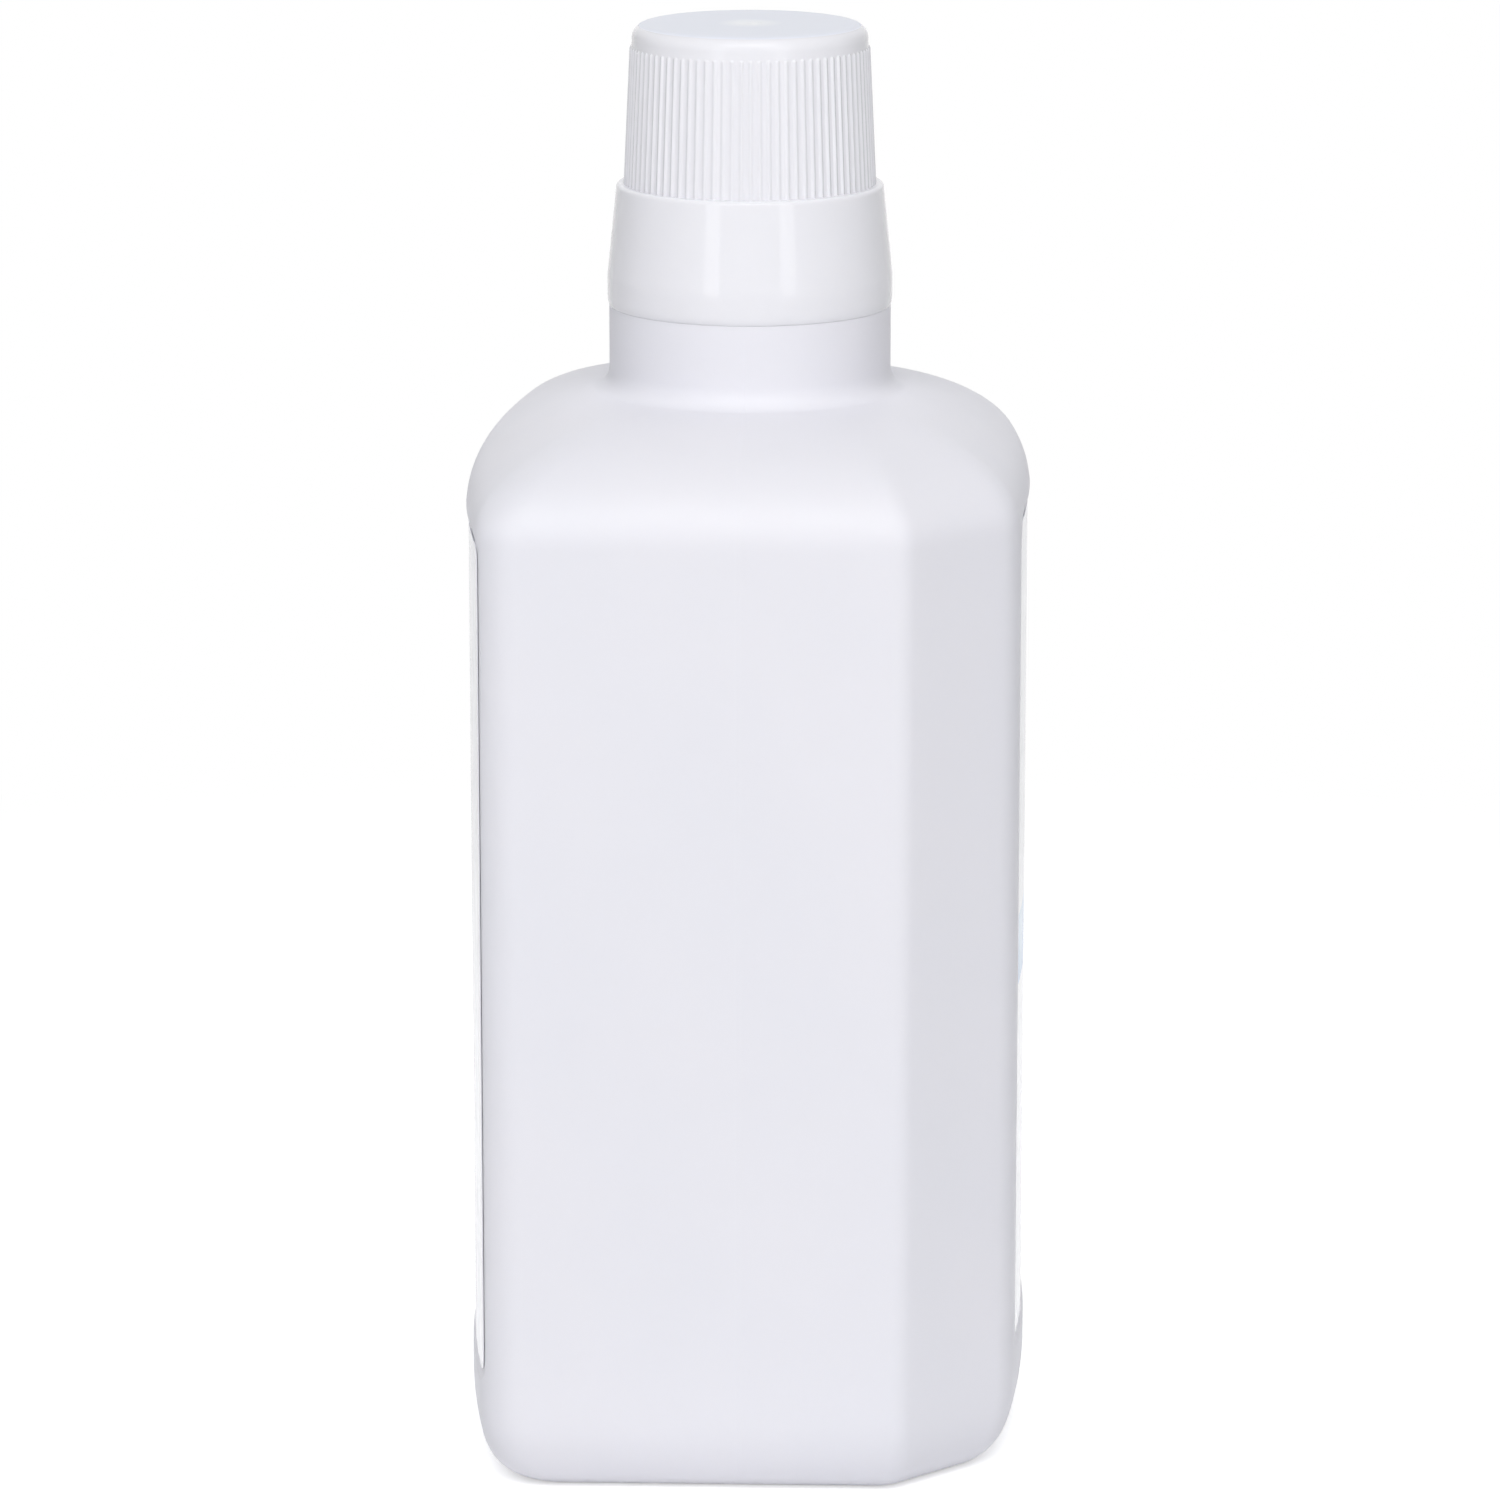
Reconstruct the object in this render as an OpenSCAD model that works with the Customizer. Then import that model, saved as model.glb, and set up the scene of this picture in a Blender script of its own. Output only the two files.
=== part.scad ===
// Mouthwash bottle with a screw cap that is also its dosing cup.
// Millimetres, +Z up, the base on z = 0, the front label faces -Y.
// Body and shoulder are one loft of chamfered rings that turn into the round neck.

/* [Body] */
// Width across the two side faces
body_w = 76; // [68:1:88]
// Depth at the middle of the front and back faces
body_d = 66.6; // [60:0.2:80]
// Height of the straight walls, from the table to the start of the shoulder
body_h = 113.8; // [80:0.2:180]
// Radius of the slightly rounded front and back faces
face_r = 216; // [150:1:400]
// Leg of the 45 degree chamfer on the two front corners
chamfer = 12.2; // [8:0.1:16]
// Rounding between each chamfer and the side face
chamfer_side_r = 3.8; // [1.5:0.1:5]
// Rounding between each chamfer and the front face
chamfer_front_r = 6; // [2:0.1:8]
// Rounding of the two back corners
back_corner_r = 5; // [2:0.1:10]
// Thickness of the blown wall
wall = 1; // [0.6:0.05:1.4]

/* [Base] */
// How far the rounding into the base runs in from the walls
base_in = 6.6; // [4:0.1:9]
// Height of the rounding into the base
base_up = 9.4; // [5:0.1:11]
// Width of the flat ring that the bottle stands on
foot_w = 2.6; // [1.5:0.1:5]
// Height that the middle of the base is pushed up
push_up = 2.6; // [1:0.1:4]
// Width of the bend that leads up into the middle of the base
push_bend = 9; // [4:0.1:12]

/* [Shoulder] */
// Height of the shoulder above the straight walls
shoulder_h = 12.2; // [8:0.1:24]
// How far the shoulder runs in from the walls
shoulder_in = 13.6; // [11:0.1:16]
// How square the shoulder bends, where 2 is an ellipse
shoulder_bend = 2.3; // [1.8:0.05:2.6]
// How late the shoulder turns from the body's plan into the round neck
neck_blend = 1.8; // [1.5:0.1:3]

/* [Neck] */
// Height of the smooth collar below the cap
collar_h = 7.3; // [4:0.1:14]
// Height of the fillet from the shoulder into the collar
neck_fillet = 2.6; // [1:0.1:4]
// How far the fillet into the collar reaches out on the shoulder
neck_reach = 2.2; // [1:0.1:2.6]
// Outside diameter of the finish that carries the thread
finish_d = 27.3; // [25:0.1:29]
// Wall of the finish
finish_wall = 1.75; // [1.2:0.05:2.4]
// Height of the finish above the collar
finish_h = 12.5; // [10:0.1:18]

/* [Cap] */
// Gap between the collar and the rim of the closed cap
rim_gap = 0.4; // [0.2:0.05:1]
// Room for the thread between the finish and the skirt
thread_room = 1.1; // [0.9:0.05:1.4]
// Wall of the skirt at its lip
cap_wall = 1.05; // [0.9:0.05:1.5]
// How far the skirt flares out from its lip to its rim
skirt_flare = 1.05; // [0.5:0.05:1.5]
// Height of the steeper band at the rim
rim_band = 4.1; // [2:0.1:6]
// Height of the lip above the ledge that holds the seal
lip_cover = 0.9; // [0.6:0.1:2]
// How far the ribs stand back from the lip
lip_step = 0.8; // [0.4:0.02:1]
// Height of the ribbed cup above the lip
cup_h = 18.8; // [12:0.1:30]
// How much the radius of the cup shrinks towards its top
cup_taper = 0.8; // [0.4:0.01:1]
// Thickness of the cap's top
top_t = 1.3; // [1:0.05:2.5]
// Rounding of the cap's top edge
top_r = 1.7; // [1:0.1:2.4]
// Diameter of the gate mark in the middle of the top
gate_d = 2.9; // [1.5:0.1:6]

/* [Ribs] */
// Number of ribs around the cup
rib_count = 84; // [36:1:90]
// Radius of one rib
rib_r = 0.33; // [0.25:0.01:0.36]
// How far a rib stands out of the cup's wall
rib_out = 0.3; // [0.2:0.01:0.32]
// Smooth height left above the ribs
rib_top_gap = 2.9; // [2:0.1:5]

/* [Seal] */
// Thickness of the seal ring
seal_t = 1; // [0.6:0.05:1.6]
// Width of the ledge that bears on the rim of the mouth
seal_bite = 0.75; // [0.5:0.05:1]
// Gap between the seal ring and the skirt
seal_gap = 0.15; // [0.1:0.05:0.3]

/* [Labels] */
// Depth of the two label panels
panel_depth = 0.5; // [0.3:0.05:0.8]
// Height of the panels' lower edge above the table
panel_z = 13.6; // [10:0.1:30]
// Bare width between the front panel and the corner of the front face
front_margin = 5.5; // [4:0.1:10]
// Bare width between the back panel and the side face
back_margin = 3; // [2.8:0.1:8]
// Thickness of a label
label_t = 0.13; // [0.1:0.01:0.25]
// Glue under a label
label_seat = 0.08; // [0.02:0.01:0.12]
// Gap between a label and the edge of its panel
label_gap = 0.6; // [0.2:0.1:2]

/* [Hidden] */
$fn = 96;
face_fn = 720;
corner_steps = 5;
face_steps = 9;
side_steps = 7;
bevel_steps = 3;
base_steps = 5;
shoulder_steps = 9;
arc_steps = 6;
fillet_steps = 5;
edge_steps = 3;
cut = 0.01;
neck_z = body_h + shoulder_h;
finish_r = finish_d / 2;
bore_r = finish_r - finish_wall;
skirt_in_r = finish_r + thread_room;
lip_r = skirt_in_r + cap_wall;
rim_r = lip_r + skirt_flare;
collar_r = rim_r - 0.2;
collar_wall = wall + 0.2;
collar_edge_r = 0.5;
finish_foot = 0.4;
mouth_edge = 0.3;
neck_base_r = collar_r + neck_reach;
collar_z = neck_z + neck_fillet;
collar_top = collar_z + collar_h;
mouth_z = collar_top + finish_h;
ledge_z = mouth_z + seal_t;
rim_z = collar_top + rim_gap;
lip_z = ledge_z + lip_cover;
cap_top_z = lip_z + cup_h;
crest_r = lip_r - lip_step;
crest_top_r = crest_r - cup_taper;
cup_r = crest_r - rib_out;
cup_top_r = crest_top_r - rib_out;
cup_in_r = finish_r - seal_bite;
cup_in_top_r = cup_in_r - 0.5;
lip_round = 0.55;
rim_relief = 1;
seal_in_r = bore_r + 0.3;
seal_out_r = skirt_in_r - seal_gap;
gate_depth = 0.15;
front_half = body_w / 2 - chamfer - front_margin;
back_half = body_w / 2 - back_margin;
panel_h = body_h - panel_z;

SHELL_WHITE = "#F3F2F6";
CAP_WHITE = "#F7F6F9";
SEAL_WHITE = "#ECECE6";
LABEL_WHITE = "#EEF0F4";

function unit(v) = v / norm(v);
function between(a, b, t) = a + (b - a) * t;

// Arc of radius r that rounds corner b of the path a, b, c
function rounded(a, b, c, r, n) = let (
    u = unit(a - b),
    v = unit(c - b),
    half = acos(u * v) / 2,
    centre = b + unit(u + v) * r / sin(half),
    first = b + u * r / tan(half) - centre,
    from = atan2(first[1], first[0]),
    turn = 180 - 2 * half
) [for (i = [0:n]) centre + r * [cos(from + turn * i / n), sin(from + turn * i / n)]];

// Points of an edge, without its ends
function edge(a, b, n) = [for (i = [1:n - 1]) between(a, b, i / n)];

// Plan of the body, drawn in by inset, with its corners rounded less by thick
function outline(inset, thick) = let (
    hx = body_w / 2 - inset,
    hy = body_d / 2 - inset,
    leg = chamfer - (2 - sqrt(2)) * inset,
    p = [[hx - leg, -hy], [hx, leg - hy], [hx, hy], [-hx, hy], [-hx, leg - hy], [leg - hx, -hy]],
    r = [chamfer_front_r, chamfer_side_r, back_corner_r, back_corner_r, chamfer_side_r, chamfer_front_r],
    steps = [bevel_steps, side_steps, face_steps, side_steps, bevel_steps, face_steps],
    arcs = [for (i = [0:5]) rounded(p[(i + 5) % 6], p[i], p[(i + 1) % 6], r[i] - thick, corner_steps)],
    flat = [for (i = [0:5]) each concat(arcs[i], edge(arcs[i][corner_steps], arcs[(i + 1) % 6][0], steps[i]))]
) [for (q = flat) [q[0], q[1] * (1 - q[0] * q[0] / (2 * face_r * hy))]];

// The plan at height z, turned towards a circle of radius r by the share s
function ring(z, inset, thick, r = 1, s = 0) = [for (q = outline(inset, thick))
    let (p = between(q, unit(q) * r, s)) [p[0], p[1], z]];

function base_rings(thick) = [for (i = [0:base_steps]) let (a = 90 * i / base_steps)
    ring(thick + (base_up - thick) * (1 - cos(a)), thick + (base_in - thick) * (1 - sin(a)), thick)];

function shoulder_rings(thick) = [for (i = [0:shoulder_steps])
    let (t = i / shoulder_steps, e = 2 / shoulder_bend, up = pow(sin(90 * t), e), in = pow(cos(90 * t), e))
    ring(body_h + (shoulder_h - thick) * up, thick + shoulder_in * (1 - in), thick,
         neck_base_r - thick, pow(t, neck_blend))];

function round_ring(z, r) = ring(z, shoulder_in, 0, r, 1);

// Fillet, collar and its top edge; with thick the hollow under them
function neck_rings(thick) = let (
    foot = neck_base_r - thick,
    top_r = collar_r - (thick > 0 ? collar_wall : 0),
    top_z = collar_top - (thick > 0 ? collar_wall : 0)
) concat(
    [for (i = [1:fillet_steps]) let (a = 90 * i / fillet_steps)
        round_ring(collar_z - (neck_fillet + thick) * cos(a), foot - (foot - top_r) * sin(a))],
    [for (i = [0:edge_steps]) let (a = 90 * i / edge_steps)
        round_ring(top_z - collar_edge_r * (1 - sin(a)), top_r - collar_edge_r * (1 - cos(a)))]
);

function push_rings(thick) = let (foot = base_in + foot_w) concat(
    [ring(-1, foot - thick, 0)],
    [for (i = [0:base_steps]) let (a = 90 * i / base_steps)
        ring(push_up * sin(a) + (i == 0 ? 0 : thick), foot + push_bend * (1 - cos(a)) - thick * (1 - sin(a)), 0)]
);

module loft(rings) {
    n = len(rings[0]);
    last = len(rings) - 1;
    walls = [for (k = [0:last - 1], j = [0:n - 1])
        let (a = k * n + j, b = k * n + (j + 1) % n) each [[a, a + n, b + n], [a, b + n, b]]];
    bottom = [for (j = [0:n - 1]) j];
    top = [for (j = [n - 1:-1:0]) last * n + j];
    polyhedron(points = [for (r = rings) each r], faces = concat([bottom], walls, [top]), convexity = 4);
}

module body_form(thick = 0) {
    loft(concat(base_rings(thick), shoulder_rings(thick), neck_rings(thick)));
}

// Hollow under the base, or with thick the floor that stands over it
module push_form(thick = 0) {
    loft(push_rings(thick));
}

module window(half, grow = 0) {
    translate([-half - grow, -body_d / 2 - 1, panel_z - grow])
        cube([2 * (half + grow), 16, panel_h + 2 * grow]);
}

module face_cylinder(r) {
    translate([0, face_r - body_d / 2, 0])
        cylinder(r = r, h = neck_z, $fn = face_fn);
}

// Cuts a panel into the front face, or with thick keeps the wall behind it
module panel_cut(half, thick = 0) {
    difference() {
        window(half, thick);
        face_cylinder(face_r - panel_depth - thick);
    }
}

module panel_cuts(thick = 0) {
    panel_cut(front_half, thick);
    rotate([0, 0, 180])
        panel_cut(back_half, thick);
}

module label(half) {
    back_r = face_r - panel_depth + label_seat;
    intersection() {
        difference() {
            face_cylinder(back_r + label_t);
            face_cylinder(back_r);
        }
        window(half, -label_gap);
    }
}

// Finish that carries the thread and the rim of the mouth
module finish_form() {
    foot_r = finish_r + finish_foot;
    rotate_extrude()
        polygon([
            [0, collar_top - collar_wall / 2],
            [foot_r, collar_top - collar_wall / 2],
            [foot_r, collar_top],
            [finish_r, collar_top + finish_foot],
            [finish_r, mouth_z - mouth_edge],
            [finish_r - mouth_edge, mouth_z],
            [0, mouth_z]
        ]);
}

module finish_bore() {
    translate([0, 0, collar_top - 2 * collar_wall])
        cylinder(r = bore_r, h = finish_h + 2 * collar_wall + cut);
}

module bottle() {
    color(SHELL_WHITE)
        difference() {
            union() {
                body_form();
                finish_form();
            }
            difference() {
                body_form(wall);
                push_form(wall);
                panel_cuts(wall);
            }
            finish_bore();
            push_form();
            panel_cuts();
        }
}

module cap_outer() {
    rotate_extrude()
        polygon(concat(
            [[0, rim_z], [rim_r - 0.25, rim_z], [rim_r, rim_z + 0.25]],
            [[rim_r - 0.05, rim_z + rim_band]],
            [for (i = [0:arc_steps]) let (a = 90 * i / arc_steps)
                [lip_r - lip_round * (1 - cos(a)), lip_z - lip_round * (1 - sin(a))]],
            [[cup_r, lip_z]],
            [[cup_top_r, cap_top_z - top_r]],
            [for (i = [1:arc_steps]) let (a = 90 * i / arc_steps)
                [cup_top_r - top_r * (1 - cos(a)), cap_top_z - top_r * (1 - sin(a))]],
            [[0, cap_top_z]]
        ));
}

module cap_inner() {
    floor_r = 1.2;
    rotate_extrude()
        polygon(concat(
            [[0, rim_z - cut], [skirt_in_r + rim_relief, rim_z - cut]],
            [[skirt_in_r + rim_relief, rim_z + rim_band - rim_relief], [skirt_in_r, rim_z + rim_band]],
            [[skirt_in_r, ledge_z], [cup_in_r, ledge_z]],
            [for (i = [0:arc_steps]) let (a = 90 * i / arc_steps)
                [cup_in_top_r - floor_r * (1 - cos(a)), cap_top_z - top_t - floor_r * (1 - sin(a))]],
            [[0, cap_top_z - top_t]]
        ));
}

// One rib that leans with the cup's wall and ends in a ball
module rib() {
    rib_h = cup_h - rib_top_gap;
    lean = atan(cup_taper / (cup_h - top_r));
    translate([crest_r - rib_r, 0, lip_z - lip_round])
        rotate([0, -lean, 0]) {
            cylinder(r = rib_r, h = rib_h + lip_round, $fn = 16);
            translate([0, 0, rib_h + lip_round])
                sphere(r = rib_r, $fn = 16);
        }
}

module cap() {
    color(CAP_WHITE)
        difference() {
            union() {
                cap_outer();
                for (i = [0:rib_count - 1])
                    rotate([0, 0, (i + 0.5) * 360 / rib_count])
                        rib();
            }
            cap_inner();
            translate([0, 0, cap_top_z - gate_depth])
                cylinder(d = gate_d, h = 1, $fn = 32);
        }
}

module cap_seal() {
    color(SEAL_WHITE)
        translate([0, 0, mouth_z])
            difference() {
                cylinder(r = seal_out_r, h = seal_t);
                translate([0, 0, -cut])
                    cylinder(r = seal_in_r, h = seal_t + 2 * cut);
            }
}

module front_label() {
    color(LABEL_WHITE)
        label(front_half);
}

module back_label() {
    color(LABEL_WHITE)
        rotate([0, 0, 180])
            label(back_half);
}

bottle();
cap();
cap_seal();
front_label();
back_label();
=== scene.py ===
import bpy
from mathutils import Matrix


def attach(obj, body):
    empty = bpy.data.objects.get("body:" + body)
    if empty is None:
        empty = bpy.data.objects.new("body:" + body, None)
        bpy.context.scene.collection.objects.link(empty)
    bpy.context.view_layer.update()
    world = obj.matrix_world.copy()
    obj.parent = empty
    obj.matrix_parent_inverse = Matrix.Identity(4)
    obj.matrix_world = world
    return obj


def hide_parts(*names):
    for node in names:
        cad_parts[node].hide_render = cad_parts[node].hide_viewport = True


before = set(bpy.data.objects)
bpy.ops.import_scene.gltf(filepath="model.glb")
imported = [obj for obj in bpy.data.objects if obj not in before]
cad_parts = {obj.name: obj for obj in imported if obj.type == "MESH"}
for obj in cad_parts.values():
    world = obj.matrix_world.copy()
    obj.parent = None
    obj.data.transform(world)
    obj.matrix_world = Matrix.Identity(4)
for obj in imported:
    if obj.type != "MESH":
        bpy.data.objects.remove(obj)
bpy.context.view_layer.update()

import math

import bpy
import numpy as np
from mathutils import Vector

MM = 0.001

# Sizes of the part's source, in millimetres

BODY_W = 76.0
BODY_D = 66.6
BODY_H = 113.8
FACE_R = 216.0
CHAMFER = 12.2
CHAMFER_SIDE_R = 3.8
CHAMFER_FRONT_R = 6.0
BACK_CORNER_R = 5.0
WALL = 1.0
BASE_IN = 6.6
BASE_UP = 9.4
FOOT_W = 2.6
PUSH_UP = 2.6
PUSH_BEND = 9.0
SHOULDER_H = 12.2
SHOULDER_IN = 13.6
SHOULDER_BEND = 2.3
NECK_BLEND = 1.8
NECK_FILLET = 2.6
NECK_REACH = 2.2
COLLAR_H = 7.3
COLLAR_STEP = 0.2
COLLAR_EXTRA = 0.2
FINISH_R = 13.65
BORE_R = 11.9
FINISH_H = 12.5
RIM_GAP = 0.4
RIM_BAND = 4.1
RIM_RELIEF = 1.0
THREAD_ROOM = 1.1
CAP_WALL = 1.05
SKIRT_FLARE = 1.05
SEAL_T = 1.0
SEAL_BITE = 0.75
SEAL_GAP = 0.15
SEAL_INSET = 0.3
LIP_COVER = 0.9
LIP_STEP = 0.8
CUP_H = 18.8
CUP_TAPER = 0.8
CUP_IN_TAPER = 0.5
TOP_T = 1.3
TOP_R = 1.7
RIB_COUNT = 84
RIB_OUT = 0.3
RIB_TOP_GAP = 2.9
GATE_R = 1.45
PANEL_DEPTH = 0.5
PANEL_Z = 13.6
FRONT_MARGIN = 5.5
BACK_MARGIN = 3.0
LABEL_T = 0.13
LABEL_SEAT = 0.08
LABEL_GAP = 0.6

# Details that the scene draws in its own way, in millimetres

PANEL_CORNER = 2.5
PANEL_SOFT = (-0.9, 0.4)
PANEL_REACH = 1.2
MOULD_LINE = 0.022
COLLAR_EDGE = 0.06
COLLAR_LEDGE = 1.6
FOOT_FLAT_IN = 0.4
FOOT_FLAT_OUT = 0.5
FINISH_FOOT = 0.5
MOUTH_EDGE = 0.35
BORE_FOOT = 0.8
ROOF_CORNER = 1.0
RIM_SEAM = 0.02
RIM_EDGE = 0.02
BAND_DROP = 0.6
FLARE_INSET = 0.04
FLARE_DROP = 0.6
LIP_ROUND = 0.5
CEILING_CORNER = 1.2
RIB_HALF = 0.38
RIB_SHOW = 0.18
SEAL_ROUND = 0.22
PITCH = 3.2
THREAD_UP = 3.4
THREAD_SINK = 0.15
THREAD_EDGE = 0.12
NECK_THREAD = 0.85
CAP_THREAD = 0.8

# Places and sizes that follow from those above

FRONT_HALF = BODY_W / 2 - CHAMFER - FRONT_MARGIN
BACK_HALF = BODY_W / 2 - BACK_MARGIN
SKIRT_IN_R = FINISH_R + THREAD_ROOM
LIP_R = SKIRT_IN_R + CAP_WALL
RIM_R = LIP_R + SKIRT_FLARE
COLLAR_R = RIM_R - COLLAR_STEP
COLLAR_WALL = WALL + COLLAR_EXTRA
COLLAR_IN_R = COLLAR_R - COLLAR_WALL
NECK_BASE_R = COLLAR_R + NECK_REACH
NECK_Z = BODY_H + SHOULDER_H
COLLAR_Z = NECK_Z + NECK_FILLET
COLLAR_TOP = COLLAR_Z + COLLAR_H
COLLAR_ROOF = COLLAR_TOP - COLLAR_WALL
MOUTH_Z = COLLAR_TOP + FINISH_H
LEDGE_Z = MOUTH_Z + SEAL_T
RIM_Z = COLLAR_TOP + RIM_GAP
LIP_Z = LEDGE_Z + LIP_COVER
CAP_TOP_Z = LIP_Z + CUP_H
RIB_TOP_Z = CAP_TOP_Z - RIB_TOP_GAP
CREST_R = LIP_R - LIP_STEP
CUP_R = CREST_R - RIB_OUT
CUP_TOP_R = CUP_R - CUP_TAPER
CUP_IN_R = FINISH_R - SEAL_BITE
FOOT_IN = BASE_IN + FOOT_W
THREAD_Z = COLLAR_TOP + THREAD_UP

# Colours of the materials

SHELL_COLOR = (0.805, 0.805, 0.865)
SHELL_TINT = (0.82, 0.815, 0.872)
CAP_COLOR = (0.825, 0.823, 0.872)
CAP_TINT = (0.835, 0.833, 0.878)
# Painted shade: the cap's top is a darker, bluer grey for the weak bluish light from above
DISC_SHADE_COLOR = (0.80, 0.825, 0.91)
GATE_COLOR = (0.95, 0.965, 0.99)
SEAL_COLOR = (0.76, 0.76, 0.74)
SEAL_TINT = (0.80, 0.80, 0.78)
FILM_COLOR = (0.805, 0.812, 0.865)
FILM_TINT = (0.82, 0.825, 0.872)
BAND_LOW = (0.30, 0.46, 0.72)
BAND_HIGH = (0.52, 0.66, 0.84)

# Scales of the materials' noises, per metre

SLOW_SCALE = 35.0
PAPER_SCALE = 60.0
MID_SCALE = 160.0
GLOSS_SCALE = 240.0
FILM_SCALE = 900.0
GRAIN_SCALE = 2600.0

# Shares, ranges and roughness of the materials

NOISE_RANGE = (0.3, 0.7)
TINT_RANGE = (0.35, 0.65)
FACING_RANGE = (0.3, 0.92)
LEVEL_RANGE = (0.3, 0.75)
GATE_EDGE = (0.7, 1.15)
PLASTIC_IOR = 1.5
SCATTER_COLOR = (1.0, 0.95, 0.9)
DISC_EXTRA_ROUGH = 0.34
FILM_ROUGH_RANGE = (0.13, 0.20)

# Depths of the materials, in metres

SCATTER_DEPTH = 0.0015
FILM_GRAIN = 0.000002

# Places on the cap's top and on the front label, in millimetres

DISC_BELOW_TOP = 0.25
BAND_Z = 61.7
BAND_H = 8.5


# Shader helpers

def add(tree, kind, **values):
    """A new node, with each value set on its socket of that name, or else on the node."""
    node = tree.nodes.new(kind)
    for key, value in values.items():
        if key in node.inputs:
            node.inputs[key].default_value = value
        else:
            setattr(node, key, value)
    return node


def calc(tree, operation, first, second=0.0):
    """One step of arithmetic on two values, each a number or an output."""
    node = add(tree, "ShaderNodeMath", operation=operation)
    for socket, value in zip(node.inputs, (first, second)):
        if isinstance(value, float):
            socket.default_value = value
        else:
            tree.links.new(value, socket)
    return node.outputs[0]


def mapped(tree, value, start, end, first, last, interpolation="LINEAR"):
    """Takes a value between start and end over to one between first and last."""
    node = add(tree, "ShaderNodeMapRange", interpolation_type=interpolation)
    for name, number in (("From Min", start), ("From Max", end), ("To Min", first), ("To Max", last)):
        node.inputs[name].default_value = number
    tree.links.new(value, node.inputs["Value"])
    return node.outputs["Result"]


def noise(tree, coord, scale, detail=3.0):
    tex = add(tree, "ShaderNodeTexNoise", Scale=scale, Detail=detail)
    tree.links.new(coord, tex.inputs["Vector"])
    return tex.outputs["Fac"]


def ramp(tree, value, stops):
    """A colour from a value, by two stops of (position, colour)."""
    node = tree.nodes.new("ShaderNodeValToRGB")
    for element, (position, color) in zip(node.color_ramp.elements, stops):
        element.position = position
        element.color = (*color, 1)
    tree.links.new(value, node.inputs["Fac"])
    return node.outputs["Color"]


def mix_colors(tree, share, first, second):
    node = add(tree, "ShaderNodeMix", data_type="RGBA")
    tree.links.new(share, node.inputs["Factor"])
    tree.links.new(first, node.inputs["A"])
    tree.links.new(second, node.inputs["B"])
    return node.outputs["Result"]


def scaled(tree, color, share):
    node = add(tree, "ShaderNodeVectorMath", operation="SCALE")
    tree.links.new(color, node.inputs[0])
    tree.links.new(share, node.inputs["Scale"])
    return node.outputs[0]


def length(tree, vector):
    node = add(tree, "ShaderNodeVectorMath", operation="LENGTH")
    tree.links.new(vector, node.inputs[0])
    return node.outputs["Value"]


def upward(tree, vector):
    """The z of a vector."""
    node = add(tree, "ShaderNodeSeparateXYZ")
    tree.links.new(vector, node.inputs[0])
    return node.outputs["Z"]


def bump(tree, shader, heights):
    """Raises a surface by each height, given as (output, distance in metres)."""
    normal = None
    for height, distance in heights:
        node = add(tree, "ShaderNodeBump", Distance=distance)
        tree.links.new(height, node.inputs["Height"])
        if normal is not None:
            tree.links.new(normal, node.inputs["Normal"])
        normal = node.outputs["Normal"]
    tree.links.new(normal, shader.inputs["Normal"])


# Materials

def plastic(name, subsurface=0.0):
    """A new material, its node tree and its shader."""
    mat = bpy.data.materials.new(name)
    mat.use_nodes = True
    shader = mat.node_tree.nodes["Principled BSDF"]
    shader.inputs["IOR"].default_value = PLASTIC_IOR
    if subsurface:
        shader.inputs["Subsurface Weight"].default_value = subsurface
        shader.inputs["Subsurface Radius"].default_value = SCATTER_COLOR
        shader.inputs["Subsurface Scale"].default_value = SCATTER_DEPTH
    return mat, mat.node_tree, shader


def edge_shade(tree, depth):
    """Share of the base colour for painted shade: 1 where an upright wall faces the viewer, falling towards
    its outline, and 1 on level faces.
    """
    facing = add(tree, "ShaderNodeLayerWeight", Blend=0.5).outputs["Facing"]
    normal = add(tree, "ShaderNodeNewGeometry").outputs["Normal"]
    upright = mapped(tree, calc(tree, "ABSOLUTE", upward(tree, normal)), *LEVEL_RANGE, 1.0, 0.0, "SMOOTHSTEP")
    turned = mapped(tree, facing, *FACING_RANGE, 0.0, depth, "SMOOTHSTEP")
    return calc(tree, "SUBTRACT", 1.0, calc(tree, "MULTIPLY", turned, upright))


def cap_disc(tree, coord, shade, rough):
    """Colour and roughness of the cap, with its top more matt and painted a darker, bluer grey as shade of
    the weak bluish light from above, and the gate's mark in the middle.
    """
    on_top = calc(tree, "GREATER_THAN", upward(tree, coord), (CAP_TOP_Z - DISC_BELOW_TOP) * MM)
    flat = add(tree, "ShaderNodeVectorMath", operation="MULTIPLY")
    flat.inputs[1].default_value = (1, 1, 0)
    tree.links.new(coord, flat.inputs[0])
    inner, outer = GATE_EDGE
    top = ramp(tree, length(tree, flat.outputs[0]),
               [(GATE_R * MM * inner, GATE_COLOR), (GATE_R * MM * outer, DISC_SHADE_COLOR)])
    rough = calc(tree, "ADD", calc(tree, "MULTIPLY", on_top, DISC_EXTRA_ROUGH), rough)
    return mix_colors(tree, on_top, shade, top), rough


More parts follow.
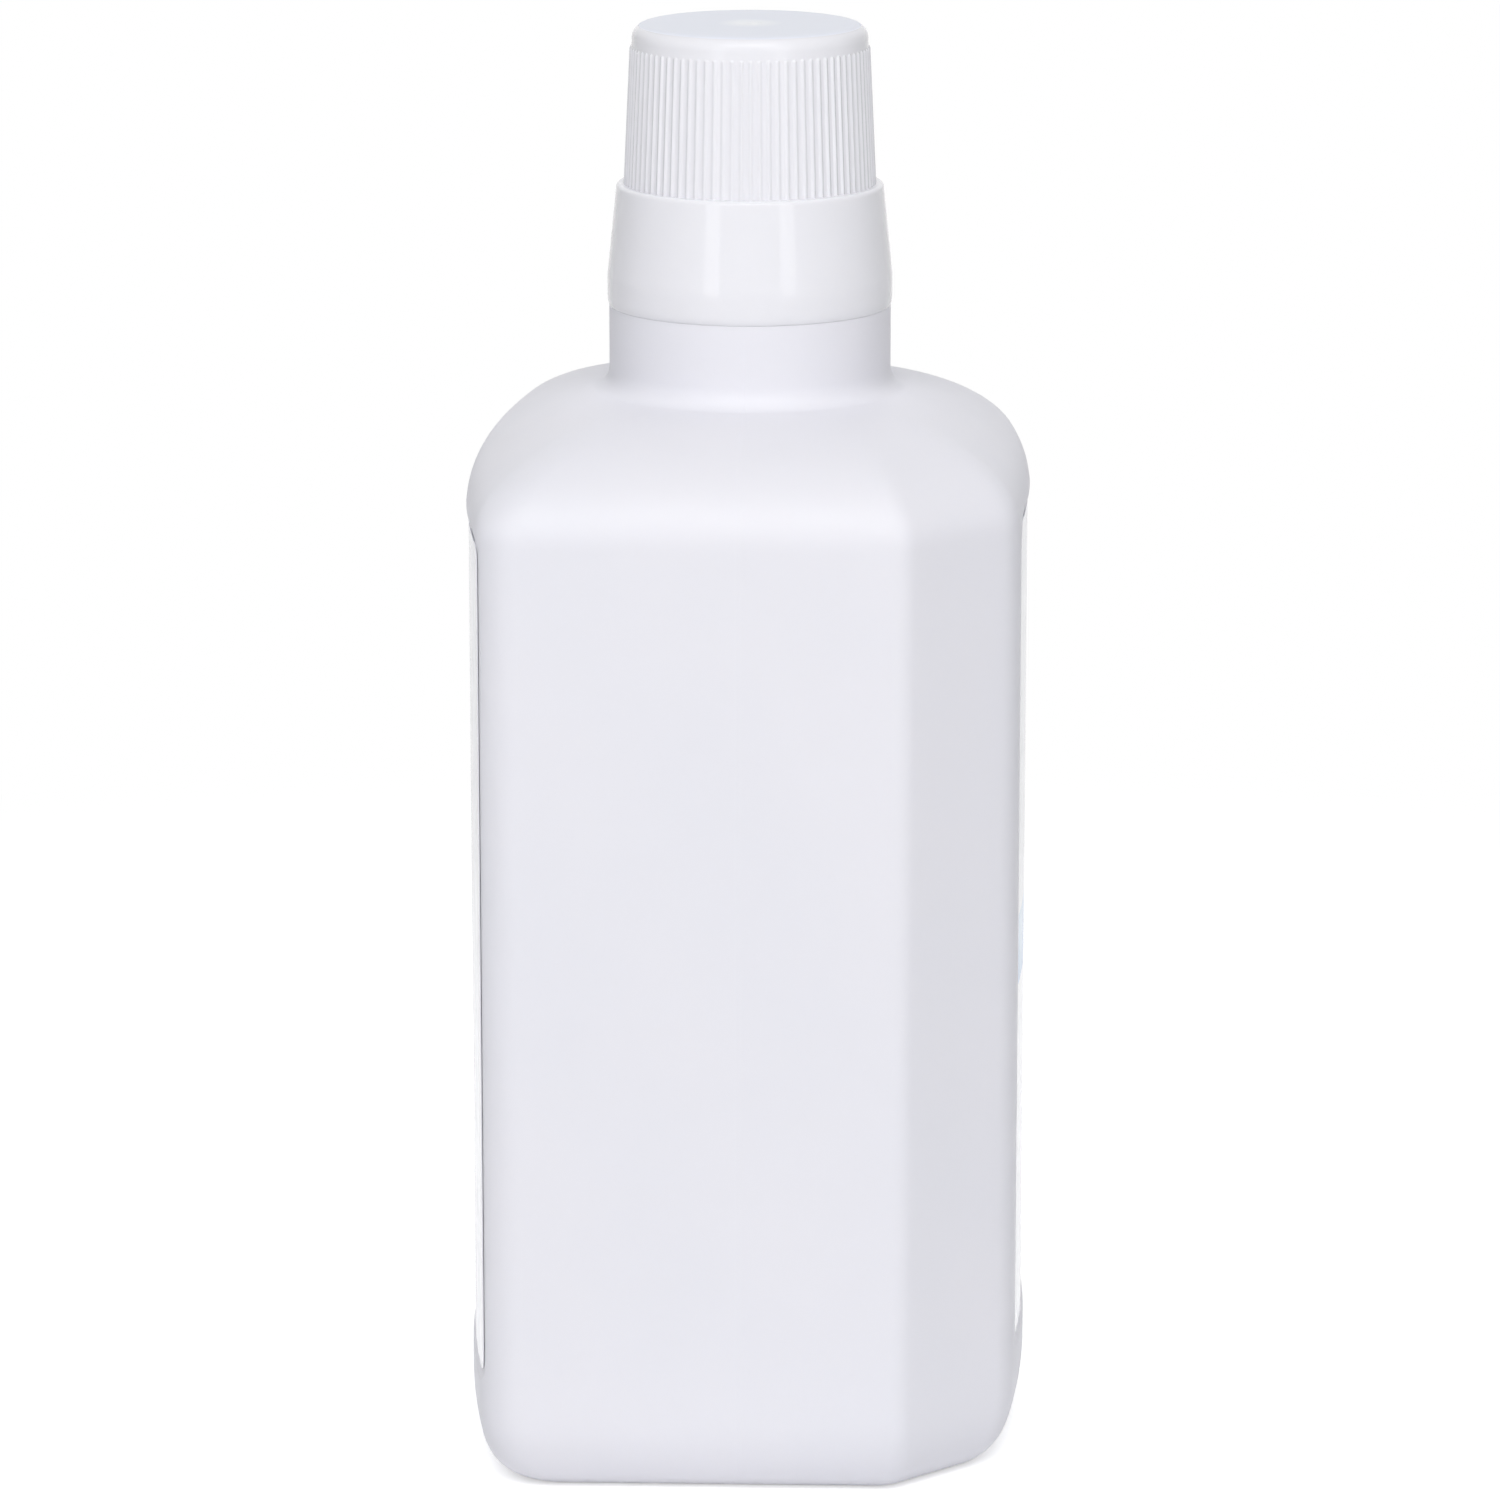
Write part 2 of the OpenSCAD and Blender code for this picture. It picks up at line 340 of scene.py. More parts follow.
def moulded(name, color, tint, rough, rough_swing, grain, waves, edge, subsurface=0.0, disc=False):
    """Moulded white plastic: slow colour and gloss changes, fine grain, slow waves of the wall, and painted
    shade towards the outline of upright walls.

    grain and waves are in metres, and edge is how deep the painted shade is where upright walls turn towards
    their outline.
    """
    mat, tree, shader = plastic(name, subsurface)
    coord = add(tree, "ShaderNodeTexCoord").outputs["Object"]
    slow = noise(tree, coord, SLOW_SCALE, 2.0)
    shade = ramp(tree, slow, [(TINT_RANGE[0], color), (TINT_RANGE[1], tint)])
    # Painted shade: the colour darkens where upright walls turn away towards their outline
    shade = scaled(tree, shade, edge_shade(tree, edge))
    gloss = mapped(tree, noise(tree, coord, MID_SCALE), *NOISE_RANGE,
                   rough - rough_swing, rough + rough_swing)
    if disc:
        shade, gloss = cap_disc(tree, coord, shade, gloss)
    tree.links.new(shade, shader.inputs["Base Color"])
    tree.links.new(gloss, shader.inputs["Roughness"])
    bump(tree, shader, [(slow, waves), (noise(tree, coord, GRAIN_SCALE, 2.0), grain)])
    return mat


def label_material(name, banded):
    """Thin glossy white film, bare or with one soft blue band across it."""
    mat, tree, shader = plastic(name)
    coord = add(tree, "ShaderNodeTexCoord").outputs["Object"]
    paper = ramp(tree, noise(tree, coord, PAPER_SCALE),
                 [(NOISE_RANGE[0], FILM_COLOR), (NOISE_RANGE[1], FILM_TINT)])
    if banded:
        half = BAND_H * MM / 2
        height = calc(tree, "SUBTRACT", upward(tree, coord), BAND_Z * MM)
        in_band = calc(tree, "LESS_THAN", calc(tree, "ABSOLUTE", height), half)
        share = calc(tree, "DIVIDE", calc(tree, "ADD", height, half), 2 * half)
        paper = mix_colors(tree, in_band, paper, ramp(tree, share, [(0.0, BAND_LOW), (1.0, BAND_HIGH)]))
    tree.links.new(paper, shader.inputs["Base Color"])
    gloss = mapped(tree, noise(tree, coord, GLOSS_SCALE), *NOISE_RANGE, *FILM_ROUGH_RANGE)
    tree.links.new(gloss, shader.inputs["Roughness"])
    bump(tree, shader, [(noise(tree, coord, FILM_SCALE), FILM_GRAIN)])
    return mat


shell_mat = moulded("shell_satin_white", SHELL_COLOR, SHELL_TINT, rough=0.48, rough_swing=0.04,
                    grain=0.000004, waves=0.00008, edge=0.13, subsurface=0.15)
cap_mat = moulded("cap_gloss_white", CAP_COLOR, CAP_TINT, rough=0.07, rough_swing=0.01,
                  grain=0.000001, waves=0.00001, edge=0.20, subsurface=0.15, disc=True)
seal_mat = moulded("seal_foam_white", SEAL_COLOR, SEAL_TINT, rough=0.7, rough_swing=0.05,
                   grain=0.00002, waves=0.00002, edge=0.1)


# Mesh helpers

SHARP_ANGLE = 50


def smooth(x, low, high):
    """A soft step from 0 at low to 1 at high."""
    t = np.clip((x - low) / (high - low), 0, 1)
    return t * t * (3 - 2 * t)


def between(low, high, n):
    return list(np.linspace(low, high, n))


def full_turn(count):
    """Angles all round, evenly spaced."""
    return np.linspace(0, 2 * math.pi, count, endpoint=False)


def mesh_object(name, verts, faces, mat, body, node):
    """A smooth-shaded piece that rides on a body and, if a node is given, takes its place."""
    mesh = bpy.data.meshes.new(name)
    mesh.from_pydata([tuple(v) for v in np.asarray(verts) * MM], [], faces)
    mesh.validate()
    mesh.shade_smooth()
    mesh.set_sharp_from_angle(angle=math.radians(SHARP_ANGLE))
    obj = bpy.data.objects.new(name, mesh)
    bpy.context.scene.collection.objects.link(obj)
    mesh.materials.append(mat)
    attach(obj, body)
    if node:
        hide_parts(node)
    return obj


def skin(rings, closed=False):
    """Points and faces over rings of equal count, pointed at both ends or, if closed, joined in a loop."""
    count = len(rings[0])
    verts = [tuple(p) for ring in rings for p in ring]
    faces = []
    last = len(rings) if closed else len(rings) - 1
    for k in range(last):
        a, b = k * count, (k + 1) % len(rings) * count
        for j in range(count):
            i = (j + 1) % count
            faces.append((a + j, a + i, b + i, b + j))
    if not closed:
        for ring, start in ((rings[0], 0), (rings[-1], (len(rings) - 1) * count)):
            tip = len(verts)
            verts.append(tuple(np.mean(ring, axis=0)))
            for j in range(count):
                i = (j + 1) % count
                faces.append((tip, start + i, start + j) if start == 0 else (tip, start + j, start + i))
    return verts, faces


def turned_ring(angle, radius, z):
    """A ring about the z axis, with one radius or one for each angle."""
    radius = np.full(len(angle), 1.0) * radius
    return np.stack([radius * np.cos(angle), radius * np.sin(angle), np.full(len(angle), z)], 1)


def quarter(r0, z0, r1, z1, steps=6, hollow=False):
    """Profile points of a quarter arc from (r0, z0), starting upright, or lying if hollow, to (r1, z1)."""
    points = []
    for a in np.linspace(0, math.pi / 2, steps):
        c, s = (1 - math.sin(a), 1 - math.cos(a)) if hollow else (math.cos(a), math.sin(a))
        points.append((r1 + (r0 - r1) * c, z0 + (z1 - z0) * s))
    return points


# Plan of the bottle, as columns that stay the same from base to mouth

TAN_HALF_BEND = math.tan(math.radians(22.5))
FRONT_FLAT = BODY_W - 2 * CHAMFER - 2 * CHAMFER_FRONT_R * TAN_HALF_BEND
BACK_FLAT = BODY_W - 2 * BACK_CORNER_R
SIDE_LOW = CHAMFER + CHAMFER_SIDE_R * TAN_HALF_BEND
SIDE_FLAT = BODY_D - SIDE_LOW - BACK_CORNER_R
SEAM_FROM_LOW = BODY_D / 2 - SIDE_LOW
SEAM_SHARE = SEAM_FROM_LOW / SIDE_FLAT
# Columns near an edge of a panel and near the mould's parting line, as steps in millimetres
PANEL_STEPS = (-1.2, -0.7, -0.45, -0.25, -0.1, 0.1, 0.25, 0.45, 0.7, 1.2)
SEAM_STEPS = (-0.8, -0.4, -0.16, 0, 0.16, 0.4, 0.8)
# Share of a side edge kept free of other columns round the parting line, and how near a point is on it
SEAM_CLEAR = 0.02
SEAM_NEAR = 0.05
# Most that the rounding of a chamfer's corner may be, as a share of the chamfer
CORNER_LIMIT = 1.5
# Share of the bottle's depth beyond which a point lies on its front or back face
FACE_FROM = 0.35


def corner(a, b, c, r, turns):
    """Points of the arc of radius r that rounds the corner at b, at the given shares of its turn."""
    u = (a - b) / np.linalg.norm(a - b)
    v = (c - b) / np.linalg.norm(c - b)
    half = math.acos(u @ v) / 2
    centre = b + (u + v) / np.linalg.norm(u + v) * r / math.sin(half)
    first = b + u * r / math.tan(half) - centre
    start = math.atan2(first[1], first[0])
    angle = start + (math.pi - 2 * half) * np.asarray(turns)
    return centre + r * np.stack([np.cos(angle), np.sin(angle)], 1)


def around(places, length_mm):
    """Shares of an edge, closer together near the given places, which are in mm from its middle."""
    marks = set(np.round(np.linspace(-length_mm / 2, length_mm / 2, 25)[1:-1], 3))
    for place in places:
        for step in PANEL_STEPS:
            marks.add(round(place + step, 3))
    marks = sorted(m for m in marks if abs(m) < length_mm / 2 - 0.3)
    return [m / length_mm + 0.5 for m in marks]


def side_shares():
    """Shares of a side edge, closer together at the parting line."""
    marks = {m for m in np.round(np.linspace(0, 1, 21)[1:-1], 4) if abs(m - SEAM_SHARE) > SEAM_CLEAR}
    for step in SEAM_STEPS:
        marks.add(round(SEAM_SHARE + step / SIDE_FLAT, 5))
    return sorted(marks)


def keep_seam(shares, low_y, high_y):
    """Shares of a side edge that keep the columns of the parting line in the plane y = 0."""
    here = -low_y / (high_y - low_y)
    low = here / SEAM_SHARE
    high = (1 - here) / (1 - SEAM_SHARE)
    return [s * low if s <= SEAM_SHARE else here + (s - SEAM_SHARE) * high for s in shares]


SMALL_TURNS = between(0, 1, 11)
BACK_TURNS = between(0, 1, 21)
CHAMFER_SHARES = between(0, 1, 6)[1:-1]
EDGES = [CHAMFER_SHARES, side_shares(), around((), BACK_FLAT), [1 - s for s in reversed(side_shares())],
         CHAMFER_SHARES, around((-FRONT_HALF, FRONT_HALF), FRONT_FLAT)]
TURNS = [SMALL_TURNS, SMALL_TURNS, BACK_TURNS, BACK_TURNS, SMALL_TURNS, SMALL_TURNS]


def outline(inset, thick=0.0):
    """Points of the bottle's plan, drawn in by inset, with corners for a wall of that thickness."""
    hx, hy = BODY_W / 2 - inset, BODY_D / 2 - inset
    leg = CHAMFER - (2 - math.sqrt(2)) * inset
    p = np.array([[hx - leg, -hy], [hx, leg - hy], [hx, hy], [-hx, hy], [-hx, leg - hy], [leg - hx, -hy]])
    front_r = min(CHAMFER_FRONT_R, leg * CORNER_LIMIT)
    side_r = min(CHAMFER_SIDE_R, leg * CORNER_LIMIT)
    r = [front_r, side_r, BACK_CORNER_R, BACK_CORNER_R, side_r, front_r]
    arcs = [corner(p[i - 1], p[i], p[(i + 1) % 6], r[i] - thick, TURNS[i]) for i in range(6)]
    rows = []
    for i in range(6):
        rows.append(arcs[i])
        a, b = arcs[i][-1], arcs[(i + 1) % 6][0]
        shares = EDGES[i]
        if i == 1:
            shares = keep_seam(shares, a[1], b[1])
        if i == 3:
            shares = [1 - s for s in keep_seam([1 - s for s in shares], b[1], a[1])]
        rows.append(np.array([a + (b - a) * s for s in shares]))
    q = np.concatenate(rows)
    q[:, 1] *= 1 - q[:, 0] ** 2 / (2 * FACE_R * hy)
    return q


def plan_ring(z, inset, thick=0.0, r=1.0, share=0.0):
    """A ring at height z, which goes from the bottle's plan to a circle of radius r by share."""
    q = outline(inset, thick)
    round_q = q / np.linalg.norm(q, axis=1)[:, None] * r
    q = q + (round_q - q) * share
    return np.column_stack([q, np.full(len(q), z)])


def round_ring(z, r):
    """A circle of radius r with the columns of the bottle's plan."""
    return plan_ring(z, SHOULDER_IN, 0, r, 1)


# Bottle

# Shares of the base's raised middle that its rings keep, on the underside and on the floor inside
UNDER_SHARES = (0.12, 0.35, 0.6, 0.8, 0.93)
FLOOR_SHARES = (0.8, 0.4)
# Rings of the base without the mould line, and rings above the shoulder that still have it
LINE_SKIP = 4
LINE_OVER = 12
# Rows about the lower and upper edges of the panels, as steps in millimetres
PANEL_ROWS = (-1.5, -1.1, -0.8, -0.6, -0.4, -0.2, 0, 0.2, 0.4, 0.6, 0.9, 1.6, 2.4)


def panel_mask(x, z, half, grow):
    """1 inside a label panel with rounded corners and 0 outside, with a soft step at its edge."""
    low, high = PANEL_Z - grow, BODY_H + grow
    half_h = (high - low) / 2
    dx = np.abs(x) - (half + grow - PANEL_CORNER)
    dz = np.abs(z - (low + high) / 2) - (half_h - PANEL_CORNER)
    outside = np.hypot(np.maximum(dx, 0), np.maximum(dz, 0)) + np.minimum(np.maximum(dx, dz), 0)
    return smooth(PANEL_CORNER - outside, *PANEL_SOFT)


def press_panels(ring, thick=0.0):
    """Sinks the two label panels into a ring of the body."""
    x, y, z = ring[:, 0], ring[:, 1], ring[:, 2]
    floor_r = FACE_R - PANEL_DEPTH - thick
    inside = np.sqrt(np.maximum(floor_r ** 2 - x ** 2, 0)) - (FACE_R - BODY_D / 2)
    half = np.where(y < 0, FRONT_HALF, BACK_HALF)
    depth = np.maximum(np.abs(y) - inside, 0) * panel_mask(x, z, half, thick)
    depth = np.where(np.abs(y) > BODY_D * FACE_FROM, depth, 0)
    ring[:, 1] = y - np.sign(y) * depth
    return ring


def push_up_middle(level, scales):
    """Rings of the raised middle of the base, drawn in towards its centre by each scale."""
    rings = []
    for scale in scales:
        ring = plan_ring(level + PUSH_UP, FOOT_IN + PUSH_BEND)
        ring[:, :2] *= scale
        rings.append(ring)
    return rings


def push_up_bend(level, angles):
    """Rings between the foot of the base and its raised middle."""
    return [plan_ring(level + PUSH_UP * math.sin(a), FOOT_IN + PUSH_BEND * (1 - math.cos(a))) for a in angles]


def base_rings(thick=0.0, steps=14):
    """Rings of the rounded edge between the foot and the upright walls."""
    rings = []
    for a in np.linspace(0, math.pi / 2, steps):
        rings.append(plan_ring(thick + (BASE_UP - thick) * (1 - math.cos(a)),
                               thick + (BASE_IN - thick) * (1 - math.sin(a)), thick))
    return rings


def body_rings(thick=0.0):
    """Rings of the upright walls, closer together at the panels' lower and upper edges."""
    heights = {round(PANEL_Z - thick + row, 3) for row in PANEL_ROWS}
    heights |= {round(z, 3) for z in np.linspace(PANEL_Z + 4, BODY_H - 4, 14)}
    heights |= {round(BODY_H + thick - row, 3) for row in PANEL_ROWS if BODY_H + thick - row < BODY_H}
    return [press_panels(plan_ring(z, thick, thick), thick) for z in sorted(heights)]


def shoulder_rings(thick=0.0, steps=34):
    """Rings that turn the body's plan into the round foot of the neck."""
    rings = []
    power = 2 / SHOULDER_BEND
    for t in np.linspace(0, 1, steps):
        up, into = math.sin(t * math.pi / 2) ** power, math.cos(t * math.pi / 2) ** power
        ring = plan_ring(BODY_H + (SHOULDER_H - thick) * up, thick + SHOULDER_IN * (1 - into), thick,
                         NECK_BASE_R - thick, t ** NECK_BLEND)
        rings.append(press_panels(ring, thick) if ring[0][2] < BODY_H + thick + PANEL_REACH else ring)
    return rings


def fillet_rings(thick, top_r, steps=10):
    """Rings of the fillet between the shoulder and the collar."""
    foot = NECK_BASE_R - thick
    rings = []
    for a in np.linspace(0, math.pi / 2, steps)[1:]:
        rings.append(round_ring(COLLAR_Z - (NECK_FILLET + thick) * math.cos(a),
                                foot - (foot - top_r) * math.sin(a)))
    return rings


def neck_profile():
    """Radii and heights from the collar's foot over the mouth and down the bore to the collar's inside."""
    points = [(COLLAR_R, COLLAR_Z + h) for h in (0.6, 2.0, 4.0, COLLAR_H - 1.2)]
    points += quarter(COLLAR_R, COLLAR_TOP - COLLAR_EDGE, COLLAR_R - COLLAR_EDGE, COLLAR_TOP)
    points += [(COLLAR_R - COLLAR_LEDGE, COLLAR_TOP)]
    points += quarter(FINISH_R + FINISH_FOOT, COLLAR_TOP, FINISH_R, COLLAR_TOP + FINISH_FOOT, hollow=True)
    points += [(FINISH_R, z) for z in (COLLAR_TOP + 2, COLLAR_TOP + 7, MOUTH_Z - 1)]
    points += quarter(FINISH_R, MOUTH_Z - MOUTH_EDGE, FINISH_R - MOUTH_EDGE, MOUTH_Z)
    points += quarter(BORE_R + MOUTH_EDGE, MOUTH_Z, BORE_R, MOUTH_Z - MOUTH_EDGE, hollow=True)
    points += [(BORE_R, z) for z in (MOUTH_Z - 3, MOUTH_Z - 8, COLLAR_TOP + BORE_FOOT)]
    points += quarter(BORE_R, COLLAR_ROOF + BORE_FOOT, BORE_R + BORE_FOOT, COLLAR_ROOF)
    points += quarter(COLLAR_IN_R - ROOF_CORNER, COLLAR_ROOF,
                      COLLAR_IN_R, COLLAR_ROOF - ROOF_CORNER, hollow=True)
    return points + [(COLLAR_IN_R, COLLAR_Z + 2)]


def raise_mould_line(rings, start, end):
    """The ridge that the mould's two halves leave on the side faces, shoulder and collar."""
    columns = np.where(np.abs(rings[start][:, 1]) < SEAM_NEAR)[0]
    for k in range(start, end):
        below, above = rings[k - 1], rings[k + 1]
        for j in columns:
            along = above[j] - below[j]
            sign = np.sign(rings[k][j][0])
            normal = np.array([along[2] * sign, 0, -along[0] * sign])
            rings[k][j] = rings[k][j] + normal / np.linalg.norm(normal) * MOULD_LINE


def build_bottle():
    """One skin from the middle of the base up the outside, over the mouth and down the inside."""
    rings = push_up_middle(0.0, UNDER_SHARES)
    rings += push_up_bend(0.0, np.linspace(math.pi / 2, 0, 9))
    rings += [plan_ring(0, FOOT_IN - FOOT_FLAT_IN), plan_ring(0, BASE_IN + FOOT_FLAT_OUT)]
    line_start = len(rings) + LINE_SKIP
    rings += base_rings() + body_rings() + shoulder_rings()
    line_end = len(rings) + LINE_OVER
    rings += fillet_rings(0, COLLAR_R)
    rings += [round_ring(z, r) for r, z in neck_profile()]
    inside = base_rings(WALL) + body_rings(WALL) + shoulder_rings(WALL) + fillet_rings(WALL, COLLAR_IN_R)
    rings += reversed(inside)
    rings += push_up_bend(WALL, np.linspace(0, math.pi / 2, 7)[1:])
    rings += push_up_middle(WALL, FLOOR_SHARES)
    raise_mould_line(rings, line_start, line_end)
    verts, faces = skin(rings)
    mesh_object("bottle_shell", verts, faces, shell_mat, "bottle", "bottle")


# Steps in one turn of a thread, the share of it that fades at each end, and the width it starts with
THREAD_STEPS = 120
THREAD_FADE = 0.07
THREAD_START = 0.35


def helix(name, r_root, r_crest, root_w, crest_w, z0, turns, mat, body):
    """Right-hand thread that grows out of its wall and fades back into it."""
    steps = int(turns * THREAD_STEPS)
    sink = -THREAD_SINK if r_crest > r_root else THREAD_SINK
    rings = []
    for k in range(steps + 1):
        t = k / steps
        angle = t * turns * 2 * math.pi
        fade = smooth(t, 0, THREAD_FADE) * (1 - smooth(t, 1 - THREAD_FADE, 1))
        crest = r_root + (r_crest - r_root) * fade
        grow = THREAD_START + (1 - THREAD_START) * fade
        z = z0 + PITCH * t * turns
        profile = [(r_root + sink, -root_w / 2 * grow), (r_root + sink, root_w / 2 * grow),
                   (crest, crest_w / 2 * grow), (crest, -crest_w / 2 * grow)]
        if r_crest < r_root:
            profile.reverse()
        rings.append([(r * math.cos(angle), r * math.sin(angle), z + h) for r, h in profile])
    verts, faces = skin(rings)
    bevel = mesh_object(name, verts, faces, mat, body, None).modifiers.new("edges", "BEVEL")
    bevel.width = THREAD_EDGE * MM
    bevel.segments = 2
    bevel.limit_method = "ANGLE"


# Cap

RIB_COLUMNS = 12
SEAL_COLUMNS = 128
RIM_LOW = COLLAR_TOP + RIM_SEAM
BAND_TOP = RIM_Z + RIM_BAND - BAND_DROP
FLARE_R = RIM_R - FLARE_INSET
# Shape of the rim as (inset, height), from its lower edge and then from the upper end of its band
RIM_SWELL = ((0.11, 0.25), (0.05, 0.55), (0.015, 0.9), (0, 1.3), (0, 1.8))
RIM_FALL = ((0.005, -0.5), (0.015, -0.2), (0.035, 0), (0.06, 0.25))
# Rows of the ribs' wall, as heights above the lip and from the ribs' upper end
RIB_ROWS = (0, 0.06, 0.15, 0.4, 1, 3, 6, 9, 12, 14)
RIB_END_ROWS = (-0.3, -0.05, 0.06, 0.12, 0.18, 0.23, 0.27, 0.3, 0.33, 0.36, 0.5)
# Mark of the moulding gate in the middle of the top, as (radius, depth)
GATE_MARK = ((1.4, 0.01), (1.25, 0.04), (0.9, 0.05), (0.45, 0.05), (0.36, 0.02), (0.22, 0), (0.08, 0))


def rib_height(angle, z, r):
    """How far the ribs stand out at an angle and height, each a soft bar with a round end."""
    pitch = 2 * math.pi / RIB_COUNT
    u = (np.mod(angle, pitch) - pitch / 2) * r
    d = np.hypot(u, max(z - RIB_TOP_Z, 0))
    return RIB_SHOW * (0.5 + 0.5 * np.cos(math.pi * np.minimum(d / RIB_HALF, 1)))


def cup_inside():
    """Profile of the cap's inside, from the middle of its ceiling down to the rim."""
    ceiling = CAP_TOP_Z - TOP_T
    top_r = CUP_IN_R - CUP_IN_TAPER
    points = [(r, ceiling) for r in (0.6, 3.0, 6.0, 9.0)]
    points += quarter(top_r - CEILING_CORNER, ceiling, top_r, ceiling - CEILING_CORNER, hollow=True)
    points += [(CUP_IN_R - 0.2, LEDGE_Z + 6), (CUP_IN_R, LEDGE_Z + 0.3), (CUP_IN_R + 0.15, LEDGE_Z)]
    points += [(SKIRT_IN_R - 0.2, LEDGE_Z), (SKIRT_IN_R, LEDGE_Z - 0.2), (SKIRT_IN_R, RIM_Z + 8)]
    relief_r = SKIRT_IN_R + RIM_RELIEF
    points += [(SKIRT_IN_R, RIM_Z + RIM_BAND), (relief_r, RIM_Z + RIM_BAND - RIM_RELIEF)]
    return points + [(relief_r, RIM_LOW + 0.1), (relief_r + 0.1, RIM_LOW)]


def skirt_outside():
    """Profile of the rim and the flared skirt, up to the step of the lip."""
    points = [(COLLAR_R - RIM_EDGE, RIM_LOW)]
    points += quarter(COLLAR_R - RIM_EDGE, RIM_LOW,
                      COLLAR_R + RIM_EDGE, RIM_LOW + 2 * RIM_EDGE, 4, hollow=True)[1:]
    points += [(RIM_R - inset, RIM_LOW + up) for inset, up in RIM_SWELL]
    points += [(RIM_R - inset, BAND_TOP + up) for inset, up in RIM_FALL]
    flare_h = LIP_Z - FLARE_DROP - BAND_TOP
    for t in np.linspace(0.06, 1, 12):
        points.append((FLARE_R - (FLARE_R - LIP_R) * t, BAND_TOP + flare_h * t))
    points += quarter(LIP_R, LIP_Z - LIP_ROUND, LIP_R - LIP_ROUND, LIP_Z, 8)[1:]
    return points + [(CREST_R + 0.05, LIP_Z)]


def ribbed_wall():
    """Profile of the wall that carries the ribs."""
    wall_h = CUP_H - TOP_R
    heights = list(RIB_ROWS) + [RIB_TOP_Z - LIP_Z + step for step in RIB_END_ROWS]
    return [(CUP_R - CUP_TAPER * h / wall_h, LIP_Z + h) for h in heights]


def cap_top():
    """Profile of the rounded upper edge and the disc with the gate's mark."""
    points = [(CUP_TOP_R, CAP_TOP_Z - TOP_R - 0.4)]
    points += quarter(CUP_TOP_R, CAP_TOP_Z - TOP_R, CUP_TOP_R - TOP_R, CAP_TOP_Z, 14)
    points += [(r, CAP_TOP_Z) for r in (11.6, 10, 7, 4, 1.9, 1.5)]
    return points + [(r, CAP_TOP_Z - depth) for r, depth in GATE_MARK]


def build_cap():
    """One skin from the middle of the ceiling down the inside, round the rim and up to the top."""
    angle = full_turn(RIB_COUNT * RIB_COLUMNS)
    rings = [turned_ring(angle, r, z) for r, z in cup_inside() + skirt_outside()]
    rings += [turned_ring(angle, r + rib_height(angle, z, r), z) for r, z in ribbed_wall()]
    rings += [turned_ring(angle, r, z) for r, z in cap_top()]
    verts, faces = skin(rings)
    mesh_object("cap_cup", verts, faces, cap_mat, "cap", "cap")


def build_seal():
    """Soft ring with rounded edges between the mouth's rim and the ledge in the cap."""
    inner, outer = BORE_R + SEAL_INSET, SKIRT_IN_R - SEAL_GAP
    corners = ((inner, MOUTH_Z, 180), (outer, MOUTH_Z, 270), (outer, LEDGE_Z, 0), (inner, LEDGE_Z, 90))
    profile = []
    for r, z, turn in corners:
        centre_r = r + SEAL_ROUND if r == inner else r - SEAL_ROUND
        centre_z = z + SEAL_ROUND if z == MOUTH_Z else z - SEAL_ROUND
        for a in np.radians(np.linspace(turn, turn + 90, 5)):
            profile.append((centre_r + SEAL_ROUND * math.cos(a), centre_z + SEAL_ROUND * math.sin(a)))
    verts, faces = skin([turned_ring(full_turn(SEAL_COLUMNS), r, z) for r, z in profile], closed=True)
    mesh_object("seal_ring", verts, faces, seal_mat, "cap_seal", "cap_seal")


# Labels

LABEL_COLUMNS = 49
LABEL_ROWS = 24


def build_label(name, half, side, mat):
    """Thin film with rounded corners on the floor of its panel. side is -1 in front and 1 behind."""
    low, high = PANEL_Z + LABEL_GAP, BODY_H - LABEL_GAP
    width = half - LABEL_GAP
    r = PANEL_CORNER - LABEL_GAP
    bends = [r * (1 - math.cos(a)) for a in np.linspace(0, math.pi / 2, 8)]
    rows = [low + b for b in bends] + between(low + r, high - r, LABEL_ROWS)[1:-1]
    rows += [high - b for b in reversed(bends)]
    shares = np.linspace(-1, 1, LABEL_COLUMNS)
    back_r = FACE_R - PANEL_DEPTH + LABEL_SEAT
    centre_y = side * (BODY_D / 2 - FACE_R)
    sheets = []
    for radius in (back_r + LABEL_T, back_r):
        for z in rows:
            near = max(low + r - z, z - (high - r), 0)
            x = shares * (width - r + math.sqrt(max(r * r - near * near, 0)))
            y = centre_y + side * np.sqrt(radius ** 2 - x ** 2)
            sheets.append(np.stack([x, y, np.full(len(x), z)], 1))
    faces = label_faces(len(shares), len(rows), side < 0)
    mesh_object(name + "_film", np.concatenate(sheets), faces, mat, "bottle", name)


def label_faces(count, lines, in_front):
    """Faces of a film's two sheets of count by lines points and of the rim between them."""
    total = count * lines
    faces = []
    for k in range(lines - 1):
        for j in range(count - 1):
            a = k * count + j
            quad = (a, a + 1, a + count + 1, a + count)
            faces.append(quad if in_front else quad[::-1])
            back = tuple(i + total for i in quad)
            faces.append(back[::-1] if in_front else back)
    rim = list(range(count)) + [k * count + count - 1 for k in range(1, lines)]
    rim += [total - 1 - j for j in range(1, count)] + [k * count for k in range(lines - 2, 0, -1)]
    for a, b in zip(rim, rim[1:] + rim[:1]):
        quad = (a, a + total, b + total, b)
        faces.append(quad if in_front else quad[::-1])
    return faces


# The pieces

build_bottle()
helix("neck_thread", FINISH_R, FINISH_R + NECK_THREAD, root_w=1.7, crest_w=0.7, z0=THREAD_Z,
      turns=1.9, mat=shell_mat, body="bottle")
helix("cap_thread", SKIRT_IN_R, SKIRT_IN_R - CAP_THREAD, root_w=1.4, crest_w=0.6, z0=THREAD_Z - PITCH / 2,
      turns=1.7, mat=cap_mat, body="cap")
build_cap()
build_seal()
build_label("front_label", FRONT_HALF, -1, label_material("front_print", banded=True))
build_label("back_label", BACK_HALF, 1, label_material("back_print", banded=False))


